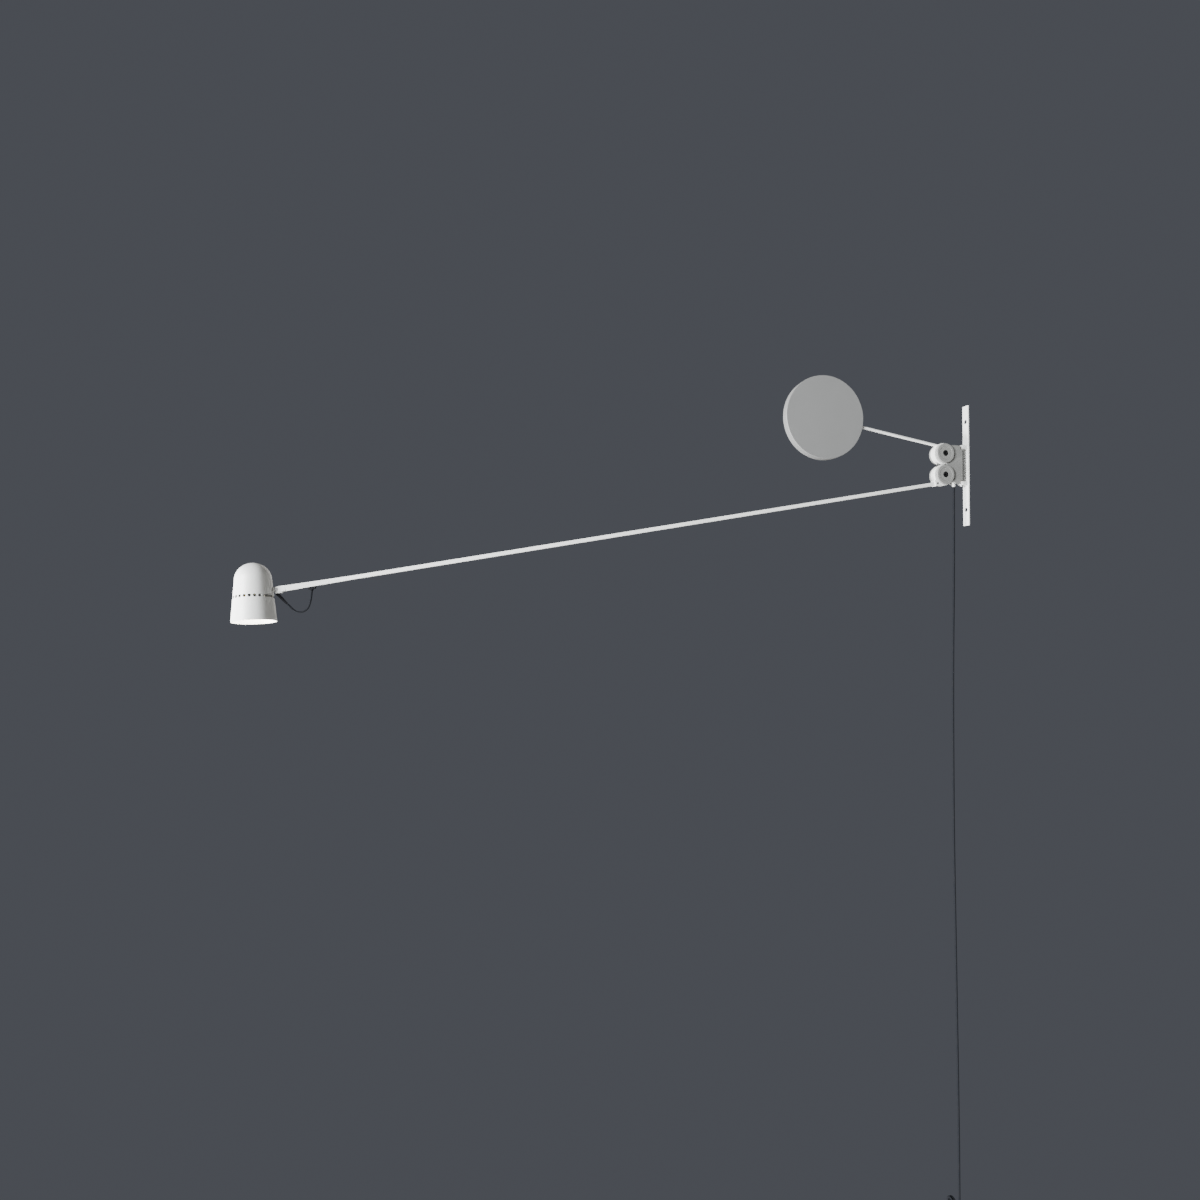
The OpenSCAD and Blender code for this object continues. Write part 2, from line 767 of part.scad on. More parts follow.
module neck() {
    body_x = lug_r + 2;
    end_x = neck_reach - 0.3;
    slot_w = lug_w + 2*ear_gap;
    color("gainsboro") at_neck() difference() {
        union() {
            difference() {
                union() {
                    translate([0, -neck_w/2, -neck_h/2]) cube([end_x, neck_w, neck_h]);
                    along_y(2*ear_r, -neck_w/2, neck_w/2);
                }
                translate([-2*ear_r, -slot_w/2, -neck_h]) cube([2*ear_r + body_x, slot_w, 2*neck_h]);
            }
            along_x(spigot_d, end_x - over, neck_reach + socket_l + 2);
            translate([-3, -boss_w/2, -neck_h/2 - boss_h]) cube([15, boss_w, boss_h + 0.5]);
        }
        along_y(tilt_pin_d, -neck_w, neck_w);
        translate([neck_reach + socket_l - 8, 0, 0]) along_x(3, 0, 20);
    }
}

// Washer and screw that keep the spigot in its socket
module neck_retainer() {
    color("silver") at_neck() translate([neck_reach + socket_l + 2, 0, 0]) {
        along_x(spigot_d + 2.4, 0, retainer_t - 0.8);
        along_x(5, retainer_t - 0.8, retainer_t + 1);
        along_x(3 - run_gap, -8, 0);
    }
}

module tilt_pin() {
    color("silver") at_neck() difference() {
        union() {
            along_y(tilt_pin_d, -neck_w/2 - 0.8, neck_w/2 + 0.8);
            both_sides() along_y(tilt_pin_d + 3, neck_w/2, neck_w/2 + 0.8);
        }
    }
}

module cable_boot() {
    color("black") at_neck() translate([0, 0, -neck_h/2 - boss_h]) rotate([0, 90 + boot_angle, 0])
        difference() {
            cylinder(r1 = boot_r, r2 = boot_tip_r, h = boot_l);
            translate([0, 0, -over]) cylinder(d = jumper_d + 2*run_gap, h = boot_l + 2*over);
            rotate([0, -90 - boot_angle, 0]) translate([-boot_l, -boot_l, 0]) cube(2*boot_l);
        }
}

// ---- Head ----

// Side view of the shade's skin, inset by a part of the wall: straight side, then dome
dome_steps = 14;
function skin(inset) = concat(
    [[side_r(0) - inset/cos(shade_slope), 0]],
    [for (i = [0 : dome_steps]) let(a = shade_slope + (90 - shade_slope)*i/dome_steps)
        [(dome_r - inset)*cos(a), dome_z + (dome_r - inset)*sin(a)]]);
module shade() {
    window_w = lug_w + 1.4;
    window_h = 2*lug_r + 1.6;
    vent_r = side_r(vent_h);
    color("white") at_mouth() difference() {
        rotate([0, 0, 180]) rotate_extrude()
            polygon(concat(skin(0), backwards(skin(shade_wall))));
        for (k = [0 : vent_count - 1]) {
            a = 360*k/vent_count;
            if (min(a, 360 - a) > slot_half_angle + 3) rotate([0, 0, a])
                translate([0, 0, vent_h]) along_x(vent_d, vent_r - 10, vent_r + 10, $fn = 24);
        }
        slot();
        translate([vent_r - 15, -window_w/2, tilt_h - window_h/2]) cube([30, window_w, window_h]);
    }
}

// Slot through the side that faces the arm
module slot() {
    far = 2*shade_r;
    translate([0, 0, vent_h - slot_h/2]) linear_extrude(height = slot_h)
        polygon(concat([[0, 0]], [for (i = [-2 : 2]) let(a = slot_half_angle*i/2)
            far*[cos(a), sin(a)]]));
}

// Bar through the shade's side, with a foot under the heat sink
module head_lug() {
    bar_l = head_offset - lug_foot_x;
    color("gainsboro") at_head() difference() {
        union() {
            along_y(2*lug_r, -lug_w/2, lug_w/2);
            translate([-bar_l, -lug_w/2, -lug_r]) cube([bar_l, lug_w, 2*lug_r]);
            translate([-bar_l, -lug_foot.y/2, sink_z - tilt_h - lug_foot.z]) cube(lug_foot);
        }
        along_y(tilt_pin_d + 2*run_gap, -lug_w, lug_w);
        lug_screw_places() translate([0, 0, -lug_foot.z - over])
            cylinder(d = lug_screw_d + 0.2, h = lug_foot.z + 2*over);
    }
}

module lug_screw_places() {
    for (s = [-1, 1])
        translate([lug_foot_x + lug_foot.x/2 - head_offset, s*lug_screw_pitch/2, sink_z - tilt_h])
            children();
}

module lug_screws() {
    head_h = 2;
    color("silver") at_head() lug_screw_places() {
        translate([0, 0, -lug_foot.z]) cylinder(d = lug_screw_d - run_gap, h = lug_foot.z + 4.5);
        translate([0, 0, -lug_foot.z - head_h]) cylinder(d = 5.4, h = head_h);
    }
}

// Round base with upright fins that follow the dome
module heat_sink() {
    color("silver") at_mouth() difference() {
        union() {
            translate([0, 0, sink_z]) cylinder(r = sink_r, h = sink_t);
            intersection() {
                translate([0, 0, dome_z]) sphere(r = dome_r - shade_wall - pass_gap);
                for (k = [-fins_each_side : fins_each_side])
                    translate([-sink_r + pass_gap, k*fin_step - fin_t/2, sink_z + sink_t - 0.5])
                        cube([2*(sink_r - pass_gap), fin_t, shade_h]);
            }
        }
        translate([head_offset, 0, tilt_h]) lug_screw_places()
            translate([0, 0, -over]) cylinder(d = lug_screw_d, h = 4.5 + over);
    }
}

module led_board() {
    color("white") at_mouth() {
        translate([0, 0, sink_z - board_t]) cylinder(r = 20, h = board_t);
        for (a = [100 : 40 : 260]) rotate([0, 0, a])
            translate([14, -2, sink_z - board_t - 1.5]) cube([3.5, 4, 1.5]);
    }
}

module led_chip() {
    color("khaki") at_mouth() translate([0, 0, sink_z - board_t - chip_t]) cylinder(r = 8, h = chip_t);
}

module reflector() {
    top_z = sink_z - board_t - chip_t - 1.5;
    top_r = 11;
    bottom_r = inner_r(reflector_z) - 2;
    wall = 1;
    color("white") at_mouth() difference() {
        union() {
            translate([0, 0, reflector_z])
                cylinder(r1 = bottom_r, r2 = top_r + wall, h = top_z - reflector_z);
            translate([0, 0, reflector_z]) cylinder(r = inner_r(reflector_z + 1.5) - side_gap, h = 1.5);
        }
        translate([0, 0, reflector_z])
            cylinder(r1 = bottom_r - wall, r2 = top_r, h = top_z - reflector_z);
        translate([0, 0, reflector_z - over]) cylinder(r = bottom_r - wall, h = over + 0.01);
        translate([0, 0, top_z - 0.01]) cylinder(r = top_r, h = over);
    }
}

module diffuser() {
    color("lightyellow") at_mouth() translate([0, 0, reflector_z - diffuser_t])
        cylinder(r = inner_r(reflector_z) - side_gap, h = diffuser_t);
}

module diffuser_ring() {
    color("white") at_mouth() translate([0, 0, mouth_recess]) difference() {
        cylinder(r = inner_r(mouth_recess + ring_t) - side_gap, h = ring_t);
        translate([0, 0, -over]) cylinder(r = inner_r(mouth_recess) - 3, h = ring_t + 2*over);
    }
}

// ---- Cables ----

module jumper_cable() {
    color("black") lamp_side() translate([-arm_l, 0, -lever_offset])
        cord(jumper_route, 2, jumper_d, 8);
}

module mains_cord() {
    color("black") {
        at_gland() cord(mains_route, 4, mains_d, 10);
        at_plug() cylinder(d = mains_d, h = tail_drop);
    }
}

// Two straight runs joined by round ends, as deep as the turns that lie side by side
module hank_block(r, depth) {
    for (z = [0, -hank_run]) translate([0, 0, z]) along_x(2*r, -depth, 0);
    translate([-depth, -r, -hank_run]) cube([depth, 2*r, hank_run]);
}

module mains_hank() {
    depth = (hank_turns + 1)*mains_d;
    color("black") at_gland() translate([hank_x + mains_d/2, hank_bend_r, hank_top]) difference() {
        hank_block(hank_bend_r + mains_d/2, depth);
        translate([over, 0, 0]) hank_block(hank_bend_r - mains_d/2, depth + 2*over);
    }
}

module hank_tie() {
    tie_h = 14;
    tie_t = 1.5;
    slack = 0.2;
    inner = [(hank_turns + 1)*mains_d + 2*slack, 2*hank_bend_r + mains_d + 2*slack];
    centre_x = hank_x - hank_turns*mains_d/2;
    middle_z = hank_top - (hank_run + tie_h)/2;
    color("dimgray") at_gland() translate([centre_x, hank_bend_r, middle_z]) difference() {
        translate([-inner.x/2 - tie_t, -inner.y/2 - tie_t, 0])
            cube([inner.x + 2*tie_t, inner.y + 2*tie_t, tie_h]);
        translate([-inner.x/2, -inner.y/2, -over]) cube([inner.x, inner.y, tie_h + 2*over]);
    }
}

module at_plug() {
    at_gland() translate([hank_x - hank_turns*mains_d, 0, hank_top - hank_run - tail_drop]) children();
}

module plug_body() {
    corner = 4;
    color("black") at_plug() {
        translate([0, 0, -relief_l]) cylinder(d1 = 12, d2 = mains_d + 1, h = relief_l);
        hull() for (x = [-1, 1]) for (y = [-1, 1]) {
            translate([x*(plug_t/2 - corner), y*(plug_w/2 - corner), -relief_l - plug_l])
                cylinder(r = corner, h = plug_l - 8, $fn = 32);
            translate([x*(plug_t/2 - corner - 1), y*(plug_w/4 - corner + 2), -relief_l - corner/4])
                cylinder(r = corner/2, h = corner/4, $fn = 32);
        }
    }
}

module plug_pins() {
    color("silver") at_plug() for (s = [-1, 1])
        translate([0, s*prong_pitch/2, prong_d/2 - relief_l - plug_l - prong_l]) {
            cylinder(d = prong_d, h = prong_l - prong_d/2);
            sphere(d = prong_d);
        }
}

wall_plate();
hinge_bracket();
hinge_pin();
pin_clip();
swivel_block();
hinge_bushes();
lower_axle();
upper_axle();
front_lower_cap();
front_upper_cap();
rear_lower_cap();
rear_upper_cap();
cap_screws();
lower_hub();
lower_gear();
lower_gear_pins();
lower_bushes();
lamp_arm();
arm_screws();
arm_cable();
arm_end_socket();
tail_plug();
tail_gland();
arm_grommet();
upper_hub();
upper_gear();
upper_gear_pins();
upper_bushes();
counter_rod();
rod_screws();
counterweight();
weight_screw();
neck();
neck_retainer();
tilt_pin();
cable_boot();
shade();
head_lug();
lug_screws();
heat_sink();
led_board();
led_chip();
reflector();
diffuser();
diffuser_ring();
jumper_cable();
mains_cord();
mains_hank();
hank_tie();
plug_body();
plug_pins();
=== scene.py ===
import json
from math import cos, pi, radians, sin

import bmesh
import bpy
from mathutils import Matrix, Vector


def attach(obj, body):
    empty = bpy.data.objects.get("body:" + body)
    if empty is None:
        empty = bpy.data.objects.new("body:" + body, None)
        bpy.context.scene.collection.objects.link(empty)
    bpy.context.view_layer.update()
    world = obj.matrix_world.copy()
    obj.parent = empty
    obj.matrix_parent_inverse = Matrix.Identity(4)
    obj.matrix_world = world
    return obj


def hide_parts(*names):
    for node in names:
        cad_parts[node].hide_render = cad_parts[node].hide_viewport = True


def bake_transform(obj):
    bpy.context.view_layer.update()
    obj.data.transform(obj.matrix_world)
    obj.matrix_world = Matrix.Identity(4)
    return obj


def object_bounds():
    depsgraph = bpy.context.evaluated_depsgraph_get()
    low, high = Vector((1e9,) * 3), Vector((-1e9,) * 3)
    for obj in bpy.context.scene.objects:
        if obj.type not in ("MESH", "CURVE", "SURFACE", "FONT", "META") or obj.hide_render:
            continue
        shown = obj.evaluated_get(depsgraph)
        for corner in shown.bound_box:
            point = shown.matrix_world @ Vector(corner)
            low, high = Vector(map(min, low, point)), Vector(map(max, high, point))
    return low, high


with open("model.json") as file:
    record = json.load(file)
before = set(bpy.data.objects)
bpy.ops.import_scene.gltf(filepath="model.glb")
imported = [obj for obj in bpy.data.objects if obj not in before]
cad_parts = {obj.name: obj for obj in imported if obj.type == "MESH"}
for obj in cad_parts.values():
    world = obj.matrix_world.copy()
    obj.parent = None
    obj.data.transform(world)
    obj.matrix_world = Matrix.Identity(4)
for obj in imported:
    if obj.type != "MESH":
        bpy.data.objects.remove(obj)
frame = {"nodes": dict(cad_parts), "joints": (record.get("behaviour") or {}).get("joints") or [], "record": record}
nodes = frame["nodes"]
cad_low, cad_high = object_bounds()

# All sizes are in metres and all angles in degrees, unless a line says otherwise.

# The mains lead hangs in the plane of the arms. It bends along MAINS_ROUTE, between the eyelet and the hank.
MAINS_D = 0.006

# The tied hank at its lower end: the straight runs, the bends between them, where it starts
HANK_RUN = 0.110
HANK_BEND = 0.020
HANK_TURNS = 2
HANK_TOP = -2.090
HANK_X = -0.045

# The tail under the hank, and the plug on its end
TAIL_DROP = 0.050
RELIEF_L = 0.020
PLUG_L = 0.034
PLUG_W = 0.026
PLUG_T = 0.015

# The short cable from the arm to the neck, and the boot that it ends in
JUMPER_D = 0.004
BOOT_ANGLE = 57
BOOT_L = 0.032
BOOT_START = 0.009

# How the lamp stands at rest
ARM_DROP = 9.9
HEAD_TURN = 7


# ---------------------------------------------------------------- small helpers


def joint_place(name):
    """Where a joint turns, at rest."""
    for joint in frame["joints"]:
        if joint["name"] == name:
            return Vector(joint["pos_m"])
    raise ValueError(name)


def link(name, mesh):
    """A mesh as a new object in the scene."""
    piece = bpy.data.objects.new(name, mesh)
    bpy.context.scene.collection.objects.link(piece)
    return piece


def from_bmesh(name, bm, smooth=True):
    """A bmesh as a new object, with smooth shading where it is wanted."""
    bmesh.ops.recalc_face_normals(bm, faces=bm.faces)
    mesh = bpy.data.meshes.new(name)
    bm.to_mesh(mesh)
    bm.free()
    for face in mesh.polygons:
        face.use_smooth = smooth
    return link(name, mesh)


def skin(bm, rings):
    """Faces between rings of corners, closed at both ends."""
    count = len(rings[0])
    for a, b in zip(rings, rings[1:]):
        for k in range(count):
            j = (k + 1) % count
            bm.faces.new((a[k], a[j], b[j], b[k]))
    bm.faces.new(rings[0])
    bm.faces.new(rings[-1])


def dress(piece, material):
    """One material on the whole of a piece."""
    piece.data.materials.clear()
    piece.data.materials.append(material)


# ---------------------------------------------------------------- camera

def look(place, yaw, pitch, roll, lens):
    """A camera, turned by yaw from +Y towards +X, then up by pitch, then rolled."""
    yaw, pitch, roll = radians(yaw), radians(pitch), radians(roll)
    ahead = Vector((sin(yaw)*cos(pitch), cos(yaw)*cos(pitch), sin(pitch)))
    level = Vector((cos(yaw), -sin(yaw), 0))
    above = level.cross(ahead)
    right = level*cos(roll) + above*sin(roll)
    up = right.cross(ahead)
    data = bpy.data.cameras.new("camera")
    data.sensor_width = 36
    data.sensor_fit = "HORIZONTAL"
    data.lens = lens
    data.clip_end = 50
    camera = bpy.data.objects.new("camera", data)
    turn = Matrix((right, up, -ahead)).transposed().to_4x4()
    camera.matrix_world = Matrix.Translation(place) @ turn
    bpy.context.scene.collection.objects.link(camera)
    bpy.context.scene.camera = camera


EYE = (-1.423, -1.756, -0.402)
VIEW_YAW = 11.533
look(EYE, yaw=VIEW_YAW, pitch=0.687, roll=-0.174, lens=21.21)


# ---------------------------------------------------------------- cords

MAINS_ROUTE = [
    (-0.0425, 0, -0.047), (-0.0425, 0, -0.062), (-0.0425, 0, -0.090), (-0.043, 0, -0.160),
    (-0.044, 0, -0.260), (-0.046, 0, -0.380), (-0.049, 0, -0.520), (-0.051, 0, -0.680),
    (-0.052, 0, -0.860), (-0.052, 0, -1.060), (-0.050, 0, -1.280), (-0.048, 0, -1.500),
    (-0.046, 0, -1.720), (-0.045, 0, -1.900), (-0.045, 0, -2.020), (-0.045, 0, -2.090),
]
JUMPER_ROUTE = [
    (-1.7531, 0.0000, -0.3540), (-1.7532, 0.0000, -0.3610), (-1.7542, 0.0000, -0.3720),
    (-1.7562, -0.0005, -0.3840), (-1.7597, -0.0010, -0.3955), (-1.7650, -0.0015, -0.4029),
    (-1.7727, -0.0020, -0.4075), (-1.7810, -0.0026, -0.4085), (-1.7885, -0.0031, -0.4060),
    (-1.7945, -0.0036, -0.4010), (-1.8000, -0.0041, -0.3949), (-1.8057, -0.0046, -0.3895),
]


def curve_through(route, steps):
    """Points on a smooth curve through the route's points."""
    points = [Vector(p) for p in route]
    last = len(points) - 1
    out = []
    for i in range(last):
        a = points[max(i - 1, 0)]
        b = points[i]
        c = points[i + 1]
        d = points[min(i + 2, last)]
        for k in range(steps):
            t = k/steps
            out.append(0.5*(2*b + (c - a)*t + (2*a - 5*b + 4*c - d)*t*t
                            + (3*b - a - 3*c + d)*t*t*t))
    out.append(points[-1])
    return out


def hank_path():
    """The hank's turns, each down, round, up and over, moving across, and then the tail."""
    arc = 10
    runs = 5
    tail_steps = 7
    out = []
    for turn in range(HANK_TURNS):
        x = HANK_X - turn*MAINS_D
        for k in range(runs):
            out.append(Vector((x, 0, HANK_TOP - HANK_RUN*k/runs)))
        for k in range(arc):
            a = pi*k/arc
            out.append(Vector((x, HANK_BEND - HANK_BEND*cos(a),
                               HANK_TOP - HANK_RUN - HANK_BEND*sin(a))))
        for k in range(runs):
            out.append(Vector((x, 2*HANK_BEND, HANK_TOP - HANK_RUN + HANK_RUN*k/runs)))
        for k in range(arc):
            a = pi*k/arc
            shift = MAINS_D*(1 - cos(a))/2
            out.append(Vector((x - shift, HANK_BEND + HANK_BEND*cos(a),
                               HANK_TOP + HANK_BEND*sin(a))))
    x = HANK_X - HANK_TURNS*MAINS_D
    for k in range(tail_steps + 1):
        out.append(Vector((x, 0, HANK_TOP - (HANK_RUN + TAIL_DROP)*k/tail_steps)))
    return out


def tube(name, path, radius, sides=16):
    """A tube along a path. Its radius is a function of the distance along it."""
    bm = bmesh.new()
    rings = []
    along = 0.0
    side = None
    for i, point in enumerate(path):
        ahead = path[min(i + 1, len(path) - 1)] - path[max(i - 1, 0)]
        ahead.normalize()
        if side is None:
            side = Vector((0, 1, 0)).cross(ahead)
        side = side - ahead*side.dot(ahead)
        side.normalize()
        other = ahead.cross(side)
        if i:
            along += (point - path[i - 1]).length
        r = radius(along)
        rings.append([
            bm.verts.new(point + side*(r*cos(2*pi*k/sides)) + other*(r*sin(2*pi*k/sides)))
            for k in range(sides)])
    skin(bm, rings)
    return from_bmesh(name, bm)


def mains_radius(along):
    """The lead is a little thicker where its sleeve leaves the eyelet."""
    inside_play = 0.00005
    sleeve_from = 0.012
    sleeve_l = 0.024
    swell = 0.0007
    if along < sleeve_from:
        return MAINS_D/2 - inside_play
    if along < sleeve_from + sleeve_l:
        return MAINS_D/2 + swell*(1 - (along - sleeve_from)/sleeve_l)
    return MAINS_D/2


mains_path = curve_through(MAINS_ROUTE, 5)[:-1] + hank_path()
mains_lead = tube("mains_lead", mains_path, mains_radius)
jumper_path = curve_through(JUMPER_ROUTE, 4)
jumper_lead = tube("jumper_lead", jumper_path, lambda along: JUMPER_D/2)


# ---------------------------------------------------------------- shader groups

def new_group(name, inputs, output):
    """An empty node group with its sockets. Each input is a name, a kind and a value."""
    group = bpy.data.node_groups.new(name, "ShaderNodeTree")
    for label, kind, value in inputs:
        socket = group.interface.new_socket(name=label, in_out="INPUT", socket_type=kind)
        socket.default_value = value
    group.interface.new_socket(name=output[0], in_out="OUTPUT", socket_type=output[1])
    return group


def add(tree, kind, **settings):
    """A new shader node with its settings."""
    node = tree.nodes.new(kind)
    for key, value in settings.items():
        setattr(node, key, value)
    return node


FLOAT = "NodeSocketFloat"
COLOUR = "NodeSocketColor"

# The mix node's colour sockets: its two inputs and its result
MIX_A = 6
MIX_B = 7
MIX_RESULT = 2
DUST_COLOUR = (0.52, 0.50, 0.46, 1)


def make_speckle():
    """Fine and coarse noise over the piece's own coordinates, as a height from 0 to 1."""
    group = new_group("speckle", [("Scale", FLOAT, 500.0), ("Detail", FLOAT, 3.0),
                                  ("Stretch X", FLOAT, 1.0), ("Stretch Y", FLOAT, 1.0),
                                  ("Stretch Z", FLOAT, 1.0)], ("Height", FLOAT))
    start = add(group, "NodeGroupInput")
    end = add(group, "NodeGroupOutput")
    place = add(group, "ShaderNodeTexCoord")
    stretch = add(group, "ShaderNodeCombineXYZ")
    scaled = add(group, "ShaderNodeVectorMath", operation="MULTIPLY")
    noise = add(group, "ShaderNodeTexNoise")
    noise.inputs["Roughness"].default_value = 0.6
    for axis in "XYZ":
        group.links.new(start.outputs["Stretch " + axis], stretch.inputs[axis])
    group.links.new(place.outputs["Object"], scaled.inputs[0])
    group.links.new(stretch.outputs["Vector"], scaled.inputs[1])
    group.links.new(scaled.outputs["Vector"], noise.inputs["Vector"])
    group.links.new(start.outputs["Scale"], noise.inputs["Scale"])
    group.links.new(start.outputs["Detail"], noise.inputs["Detail"])
    group.links.new(noise.outputs["Fac"], end.inputs["Height"])
    return group


def make_tone():
    """A colour that drifts towards a second one in soft patches."""
    group = new_group("tone", [("Colour", COLOUR, (0.8, 0.8, 0.8, 1)),
                               ("Drift", COLOUR, (0.7, 0.7, 0.7, 1)),
                               ("Scale", FLOAT, 12.0), ("Amount", FLOAT, 0.5)], ("Colour", COLOUR))
    start = add(group, "NodeGroupInput")
    end = add(group, "NodeGroupOutput")
    place = add(group, "ShaderNodeTexCoord")
    noise = add(group, "ShaderNodeTexNoise")
    noise.inputs["Detail"].default_value = 5
    patch = add(group, "ShaderNodeMapRange")
    patch.inputs["From Min"].default_value = 0.4
    patch.inputs["From Max"].default_value = 0.72
    share = add(group, "ShaderNodeMath", operation="MULTIPLY")
    mix = add(group, "ShaderNodeMix", data_type="RGBA")
    group.links.new(place.outputs["Object"], noise.inputs["Vector"])
    group.links.new(start.outputs["Scale"], noise.inputs["Scale"])
    group.links.new(noise.outputs["Fac"], patch.inputs["Value"])
    group.links.new(patch.outputs["Result"], share.inputs[0])
    group.links.new(start.outputs["Amount"], share.inputs[1])
    group.links.new(share.outputs["Value"], mix.inputs["Factor"])
    group.links.new(start.outputs["Colour"], mix.inputs[MIX_A])
    group.links.new(start.outputs["Drift"], mix.inputs[MIX_B])
    group.links.new(mix.outputs[MIX_RESULT], end.inputs["Colour"])
    return group


def make_dust():
    """A thin dust that gathers on what faces up."""
    group = new_group("dust", [("Colour", COLOUR, (0.8, 0.8, 0.8, 1)), ("Amount", FLOAT, 0.3)],
                      ("Colour", COLOUR))
    start = add(group, "NodeGroupInput")
    end = add(group, "NodeGroupOutput")
    place = add(group, "ShaderNodeNewGeometry")
    split = add(group, "ShaderNodeSeparateXYZ")
    facing = add(group, "ShaderNodeMapRange")
    facing.inputs["From Min"].default_value = 0.35
    facing.inputs["From Max"].default_value = 1.0
    object_place = add(group, "ShaderNodeTexCoord")
    noise = add(group, "ShaderNodeTexNoise")
    noise.inputs["Scale"].default_value = 60
    noise.inputs["Detail"].default_value = 6
    both = add(group, "ShaderNodeMath", operation="MULTIPLY")
    share = add(group, "ShaderNodeMath", operation="MULTIPLY")
    mix = add(group, "ShaderNodeMix", data_type="RGBA")
    mix.inputs[MIX_B].default_value = DUST_COLOUR
    group.links.new(place.outputs["Normal"], split.inputs["Vector"])
    group.links.new(split.outputs["Z"], facing.inputs["Value"])
    group.links.new(object_place.outputs["Object"], noise.inputs["Vector"])
    group.links.new(facing.outputs["Result"], both.inputs[0])
    group.links.new(noise.outputs["Fac"], both.inputs[1])
    group.links.new(both.outputs["Value"], share.inputs[0])
    group.links.new(start.outputs["Amount"], share.inputs[1])
    group.links.new(share.outputs["Value"], mix.inputs["Factor"])
    group.links.new(start.outputs["Colour"], mix.inputs[MIX_A])
    group.links.new(mix.outputs[MIX_RESULT], end.inputs["Colour"])
    return group


def make_rub():
    """A roughness that varies in soft patches between two values."""
    group = new_group("rub", [("Low", FLOAT, 0.3), ("High", FLOAT, 0.5), ("Scale", FLOAT, 25.0)],
                      ("Roughness", FLOAT))
    start = add(group, "NodeGroupInput")
    end = add(group, "NodeGroupOutput")
    place = add(group, "ShaderNodeTexCoord")
    noise = add(group, "ShaderNodeTexNoise")
    noise.inputs["Detail"].default_value = 4
    spread = add(group, "ShaderNodeMapRange")
    spread.inputs["From Min"].default_value = 0.3
    spread.inputs["From Max"].default_value = 0.7
    group.links.new(place.outputs["Object"], noise.inputs["Vector"])
    group.links.new(start.outputs["Scale"], noise.inputs["Scale"])
    group.links.new(noise.outputs["Fac"], spread.inputs["Value"])
    group.links.new(start.outputs["Low"], spread.inputs["To Min"])
    group.links.new(start.outputs["High"], spread.inputs["To Max"])
    group.links.new(spread.outputs["Result"], end.inputs["Roughness"])
    return group


GROUPS = {"speckle": make_speckle(), "tone": make_tone(), "dust": make_dust(),
          "rub": make_rub()}


def place_group(tree, name, **values):
    """One of the shared groups in a material, with its values."""
    node = add(tree, "ShaderNodeGroup")
    node.node_tree = GROUPS[name]
    for key, value in values.items():
        node.inputs[key.replace("_", " ")].default_value = value
    return node


# ---------------------------------------------------------------- finishes

def finish(name, colour, drift, rough, drift_scale=14.0, metallic=0.0, specular=0.5,
           grain=600.0, stretch=(1, 1, 1), bump=0.05, depth=0.0002, dust=0.0, glow=None):
    """A finish with drifting colour, patchy roughness and a fine grain."""
    material = bpy.data.materials.new(name)
    material.use_nodes = True
    tree = material.node_tree
    shader = tree.nodes["Principled BSDF"]
    shader.inputs["Metallic"].default_value = metallic
    shader.inputs["Specular IOR Level"].default_value = specular
    tone = place_group(tree, "tone", Colour=(*colour, 1), Drift=(*drift, 1), Scale=drift_scale)
    colour_from = tone
    if dust:
        colour_from = place_group(tree, "dust", Amount=dust)
        tree.links.new(tone.outputs["Colour"], colour_from.inputs["Colour"])
    tree.links.new(colour_from.outputs["Colour"], shader.inputs["Base Color"])
    rub = place_group(tree, "rub", Low=rough[0], High=rough[1], Scale=drift_scale*2)
    tree.links.new(rub.outputs["Roughness"], shader.inputs["Roughness"])
    speckle = place_group(tree, "speckle", Scale=grain, Stretch_X=stretch[0], Stretch_Y=stretch[1],
                          Stretch_Z=stretch[2])
    relief = add(tree, "ShaderNodeBump")
    relief.inputs["Strength"].default_value = bump
    relief.inputs["Distance"].default_value = depth
    tree.links.new(speckle.outputs["Height"], relief.inputs["Height"])
    tree.links.new(relief.outputs["Normal"], shader.inputs["Normal"])
    if glow:
        light, strength = glow
        shader.inputs["Emission Color"].default_value = (*light, 1)
        shader.inputs["Emission Strength"].default_value = strength
    return material


WAVE_RATE = 20


def woven(name, colour, drift, wave_l):
    """A woven strap: two sets of threads that cross, each 2*pi times wave_l apart."""
    material = finish(name, colour, drift, (0.85, 0.95), grain=900, bump=0.3)
    tree = material.node_tree
    shader = tree.nodes["Principled BSDF"]
    place = add(tree, "ShaderNodeTexCoord")
    bands = []
    for direction in ("Y", "Z"):
        wave = add(tree, "ShaderNodeTexWave", wave_type="BANDS", bands_direction=direction)
        wave.inputs["Scale"].default_value = 1/wave_l/WAVE_RATE
        tree.links.new(place.outputs["Object"], wave.inputs["Vector"])
        bands.append(wave)
    crossed = add(tree, "ShaderNodeMath", operation="MULTIPLY")
    relief = add(tree, "ShaderNodeBump")
    relief.inputs["Strength"].default_value = 0.6
    relief.inputs["Distance"].default_value = 0.0004
    tree.links.new(bands[0].outputs["Fac"], crossed.inputs[0])
    tree.links.new(bands[1].outputs["Fac"], crossed.inputs[1])
    tree.links.new(crossed.outputs["Value"], relief.inputs["Height"])
    tree.links.new(relief.outputs["Normal"], shader.inputs["Normal"])
    return material


